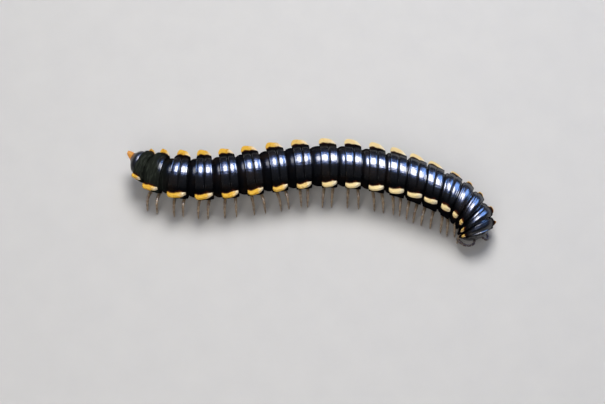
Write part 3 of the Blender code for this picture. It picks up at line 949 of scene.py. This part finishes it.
def colour(red, green, blue):
    return (red, green, blue, 1.0)


NEAR_BLACK = colour(0.0028, 0.0030, 0.0042)
FAINT_BROWN = colour(0.0100, 0.0065, 0.0050)
MAROON = colour(0.060, 0.016, 0.009)
GREEN_GREY = colour(0.0150, 0.0180, 0.0145)
GREEN_LINE = colour(0.032, 0.037, 0.030)
ORANGE_BLOTCH = colour(0.58, 0.25, 0.020)
ORANGE_YELLOW = colour(0.80, 0.47, 0.065)
CREAM_YELLOW = colour(0.88, 0.70, 0.36)
# Pale cream painted on the keels' front ends as a highlight.
PALE_TIP_HIGHLIGHT = colour(0.93, 0.84, 0.64)
LEG_BROWN = colour(0.44, 0.33, 0.22)
LEG_DARK = colour(0.165, 0.105, 0.068)
JOINT_PALE = colour(0.42, 0.33, 0.23)
BELLY_BROWN = colour(0.085, 0.058, 0.042)
FEELER_BROWN = colour(0.040, 0.024, 0.017)
TIP_PALE = colour(0.55, 0.42, 0.26)
HEAD_BLACK = colour(0.0095, 0.0088, 0.0100)
LIP_BROWN = colour(0.110, 0.048, 0.022)
TAIL_ORANGE = colour(0.78, 0.33, 0.040)


def shell_finish():
    """Glossy black back, duller flanks, front parts and last rings, and yellow keels.

    The keels pale toward the head, and their front ends carry a painted highlight of pale cream.
    """
    finish = Finish("ring_shell", IOR=1.60)
    straight = finish.attribute("straight", "Vector")
    keel = finish.attribute("keel")
    rearward = finish.attribute("rearward")
    place = finish.in_millimetres()
    x = finish.node("ShaderNodeSeparateXYZ", {}, {0: place}, "X")
    ridges = finish.noise(finish.stretched(straight, (2.0, 10.0, 10.0)), 1.0, 3.0)
    streaks = finish.noise(finish.stretched(straight, (14.0, 2.2, 2.2)), 1.0, 2.0)
    grain = finish.noise(straight, 30.0, 2.0)
    cloud = finish.noise(place, 1.3, 2.0)
    black = finish.mix(finish.range(cloud, 0.45, 0.75), NEAR_BLACK, FAINT_BROWN)
    finish.feed("Base Color", black)
    first_rings = finish.range(x, 6.3, 7.3)
    finish.feed("Roughness", 0.14 + 0.14 * grain + 0.04 * first_rings)
    wrinkle = (ridges * 0.9 + streaks * 0.5) * (1.0 - 0.65 * first_rings) + grain * 0.12
    finish.bump(wrinkle, 0.000012, 0.9)

    tailward = finish.range(x, -6.6, -7.6)
    lined = finish.mix(finish.range(streaks, 0.50, 0.66), GREEN_GREY, GREEN_LINE)
    dull_black = finish.mix(tailward, black, lined)
    headward = finish.range(x, -2.5, 1.5) * (1.0 - 0.8 * finish.range(x, 6.7, 7.4))
    lobe = finish.mix(headward, ORANGE_YELLOW, CREAM_YELLOW)
    blotch = finish.range(finish.noise(straight, 5.0, 2.0), 0.50, 0.72)
    lobe = finish.mix(blotch * (0.65 - 0.55 * headward), lobe, ORANGE_BLOTCH)
    # Painted highlight: toward each keel's front end, with some noise, the colour turns pale cream.
    pale = finish.range(rearward + 0.5 * (finish.noise(straight, 8.0, 2.0) - 0.5), 0.50, 0.15)
    lobe = finish.mix(0.8 * pale, lobe, PALE_TIP_HIGHLIGHT)
    ragged = keel + 0.05 * (finish.noise(straight, 9.0, 3.0) - 0.5)
    dark_side = finish.mix(finish.range(ragged, -0.090, -0.020), dull_black, MAROON)
    bump = finish.node("ShaderNodeBump", {}, {"Height": wrinkle, "Distance": 0.000008, "Strength": 0.6})
    dull_inputs = {"Base Color": finish.mix(finish.range(ragged, -0.020, 0.025), dark_side, lobe),
                   "Roughness": 0.38 + 0.14 * grain, "Specular IOR Level": 0.0, "Normal": bump}
    dull = finish.node("ShaderNodeBsdfPrincipled", {}, dull_inputs, "BSDF")
    front = finish.range(rearward, 0.03, 0.0) * finish.range(x, 2.0, -1.0)
    gloss = finish.attribute("gloss") * (1.0 - 0.85 * front) * finish.range(x, -7.4, -6.9)
    finish.blend(1.0 - gloss * (1.0 - finish.range(ragged, -0.05, 0.0)), dull)
    return finish.material


def leg_finish():
    """Thin brown horn, darker toward the foot, pale at the joints."""
    finish = Finish("leg_horn", IOR=1.50)
    joint = finish.attribute("joint")
    reach = finish.attribute("reach")
    place = finish.in_millimetres()
    mottle = finish.noise(place, 9.0, 3.0)
    brown = finish.mix(finish.range(mottle + reach * 0.25, 0.45, 0.95), LEG_BROWN, LEG_DARK)
    finish.feed("Base Color", finish.mix(finish.range(joint, 0.25, 0.9) * 0.8, brown, JOINT_PALE))
    finish.feed("Roughness", 0.24 + 0.14 * mottle)
    finish.bump(finish.noise(place, 60.0, 2.0), 0.000004, 0.6)
    return finish.material


def feeler_finish():
    """Dark brown horn with pale joints and tip."""
    finish = Finish("feeler_horn", IOR=1.50)
    joint = finish.attribute("joint")
    reach = finish.attribute("reach")
    place = finish.in_millimetres()
    mottle = finish.noise(place, 12.0, 3.0)
    brown = finish.mix(finish.range(mottle, 0.4, 0.8), FEELER_BROWN, LEG_DARK)
    brown = finish.mix(finish.range(joint, 0.4, 1.0) * 0.45, brown, JOINT_PALE)
    finish.feed("Base Color", finish.mix(finish.range(reach, 0.955, 0.985), brown, TIP_PALE))
    finish.feed("Roughness", 0.30 + 0.15 * mottle)
    finish.bump(finish.noise(place, 70.0, 2.0), 0.000004, 0.7)
    return finish.material


def head_finish():
    """Glossy black head shell that turns reddish brown toward the lip."""
    finish = Finish("head_shell", Coat_Roughness=0.15, IOR=1.52)
    mouthward = finish.attribute("mouthward")
    place = finish.in_millimetres()
    grain = finish.noise(place, 26.0, 3.0)
    brown = finish.range(mouthward + 0.12 * (grain - 0.5), 0.72, 0.98)
    finish.feed("Base Color", finish.mix(brown, HEAD_BLACK, LIP_BROWN))
    finish.feed("Roughness", 0.22 + 0.12 * grain)
    finish.feed("Coat Weight", 0.3 * (1.0 - brown))
    finish.bump(grain, 0.000008, 0.7)
    return finish.material


def mouth_finish():
    """Reddish-brown jaw bases and chin."""
    finish = Finish("mouth_horn", IOR=1.50)
    place = finish.in_millimetres()
    grain = finish.noise(place, 20.0, 3.0)
    finish.feed("Base Color", finish.mix(finish.range(grain, 0.35, 0.75), LEG_DARK, LIP_BROWN))
    finish.feed("Roughness", 0.30 + 0.15 * grain)
    finish.bump(grain, 0.000006, 0.6)
    return finish.material


def belly_finish():
    """Dull brown plates between the legs."""
    finish = Finish("belly_plate", IOR=1.45)
    place = finish.in_millimetres()
    grain = finish.noise(place, 15.0, 4.0)
    finish.feed("Base Color", finish.mix(finish.range(grain, 0.35, 0.75), BELLY_BROWN, LEG_DARK))
    finish.feed("Roughness", 0.45 + 0.15 * grain)
    finish.bump(grain, 0.000008, 0.7)
    return finish.material


def tail_finish():
    """Black ring that turns orange over the cone."""
    finish = Finish("tail_tip", IOR=1.50)
    tailward = finish.attribute("tailward")
    place = finish.in_millimetres()
    grain = finish.noise(place, 22.0, 3.0)
    edge = tailward + 0.06 * (grain - 0.5)
    maroon = finish.mix(finish.range(edge, 0.50, 0.62), NEAR_BLACK, MAROON)
    finish.feed("Base Color", finish.mix(finish.range(edge, 0.60, 0.70), maroon, TAIL_ORANGE))
    finish.feed("Roughness", 0.28 + 0.14 * grain)
    finish.bump(grain, 0.000008, 0.6)
    return finish.material


def bristle_finish():
    """Pale, stiff hair."""
    finish = Finish("bristle", IOR=1.45)
    place = finish.in_millimetres()
    finish.feed("Base Color", finish.mix(finish.noise(place, 5.0), JOINT_PALE, TIP_PALE))
    finish.feed("Roughness", 0.35 + 0.1 * finish.noise(place, 40.0))
    return finish.material


# Stage

def floor():
    """Wide pale sheet under the feet."""
    finish = Finish("pale_floor", Specular_IOR_Level=0.2)
    place = finish.in_millimetres()
    grain = finish.noise(place, 0.6, 5.0)
    finish.feed("Base Color", finish.mix(grain, colour(0.60, 0.59, 0.575), colour(0.65, 0.64, 0.625)))
    finish.feed("Roughness", 0.75 + 0.1 * grain)
    mesh = bmesh.new()
    bmesh.ops.create_grid(mesh, x_segments=2, y_segments=2, size=1.5)
    data = bpy.data.meshes.new("floor")
    mesh.to_mesh(data)
    mesh.free()
    data.materials.append(finish.material)
    sheet = bpy.data.objects.new("floor", data)
    bpy.context.scene.collection.objects.link(sheet)


def world():
    """Even pale surroundings."""
    made = bpy.data.worlds.new("studio")
    made.use_nodes = True
    background = made.node_tree.nodes["Background"]
    background.inputs["Color"].default_value = (0.80, 0.86, 1.0, 1.0)
    background.inputs["Strength"].default_value = 0.12
    bpy.context.scene.world = made


def soft_light(name, azimuth, elevation, distance, size, power, tint, shine=True, wash=True):
    """Round soft light aimed at the animal; azimuth 0 is the camera's side. Sizes in millimetres.

    Shine is its mirror image in glossy shells, and wash its even light on every surface.
    """
    around = math.radians(azimuth)
    height = math.radians(elevation)
    direction = Vector((math.sin(around) * math.cos(height), -math.cos(around) * math.cos(height),
                        math.sin(height)))
    data = bpy.data.lights.new(name, "AREA")
    data.shape = "DISK"
    data.size = size * METRES
    data.energy = power
    data.color = tint
    lamp = bpy.data.objects.new(name, data)
    lamp.location = direction * distance * METRES
    lamp.rotation_mode = "QUATERNION"
    lamp.rotation_quaternion = direction.to_track_quat("Z", "Y")
    lamp.visible_glossy = shine
    lamp.visible_diffuse = wash
    bpy.context.scene.collection.objects.link(lamp)


def camera():
    """Long lens from above and in front, with the animal where the photograph has it."""
    data = bpy.data.cameras.new("camera")
    data.sensor_width = SENSOR
    data.lens = SENSOR * PIXELS_PER_MM * CAMERA_DISTANCE / PHOTO[0]
    data.clip_start = METRES
    data.clip_end = 10.0
    rise = math.radians(CAMERA_ELEVATION)
    back = Vector((0.0, -math.cos(rise), math.sin(rise)))
    right = Vector((1.0, 0.0, 0.0))
    up = back.cross(right)
    off_right = (PHOTO[0] / 2.0 - AIM_PIXEL[0]) / PIXELS_PER_MM
    off_up = (AIM_PIXEL[1] - PHOTO[1] / 2.0) / PIXELS_PER_MM
    place = AIM_POINT - CENTRE + back * CAMERA_DISTANCE + right * off_right + up * off_up
    thing = bpy.data.objects.new("camera", data)
    thing.location = place * METRES
    thing.rotation_mode = "QUATERNION"
    thing.rotation_quaternion = back.to_track_quat("Z", "Y")
    bpy.context.scene.collection.objects.link(thing)
    bpy.context.scene.camera = thing


def animal():
    """Every piece of the millipede."""
    shell_look = shell_finish()
    leg_look = leg_finish()
    belly_look = belly_finish()
    for number, ring in RINGS.items():
        node = "collum" if number == 1 else f"ring_{number:02d}"
        finish_piece(f"shell_{number:02d}", shell(ring), shell_look, (node,))
        if 2 <= number <= LAST_LEGGED:
            finish_piece(f"legs_{number:02d}", legs(number), leg_look, sharp=80.0)
            finish_piece(f"sternum_{number:02d}", sternum(number), belly_look)
    finish_piece("head_capsule", head(), head_finish(), ("head",))
    finish_piece("mouth_parts", mouth_parts(), mouth_finish())
    feeler_look = feeler_finish()
    for side, name in ((1, "left"), (-1, "right")):
        mesh = feeler(side, random.Random(7 + side))
        finish_piece(f"feeler_{name}", mesh, feeler_look, (f"antenna_{name}",), sharp=80.0)
    finish_piece("tail_cone", tail(), tail_finish(), ("telson",))
    finish_piece("vent_valves", vent_valves(), belly_look)
    finish_piece("tail_hairs", tail_hairs(), bristle_finish())


animal()
floor()
world()
camera()
soft_light("window", 180.0, 74.0, 90.0, 54.0, 0.22, (1.0, 0.98, 0.96), wash=False)
soft_light("halo", 180.0, 72.0, 100.0, 112.0, 0.17, (0.13, 0.31, 1.0), wash=False)
soft_light("sky_right", 128.0, 42.0, 90.0, 66.0, 0.17, (0.22, 0.43, 1.0), wash=False)
soft_light("soft_box", 170.0, 66.0, 90.0, 50.0, 0.068, (1.0, 0.985, 0.96), shine=False)
soft_light("fill", -15.0, 48.0, 90.0, 60.0, 0.026, (1.0, 0.97, 0.93), shine=False)

bpy.context.scene.view_settings.view_transform = "Standard"
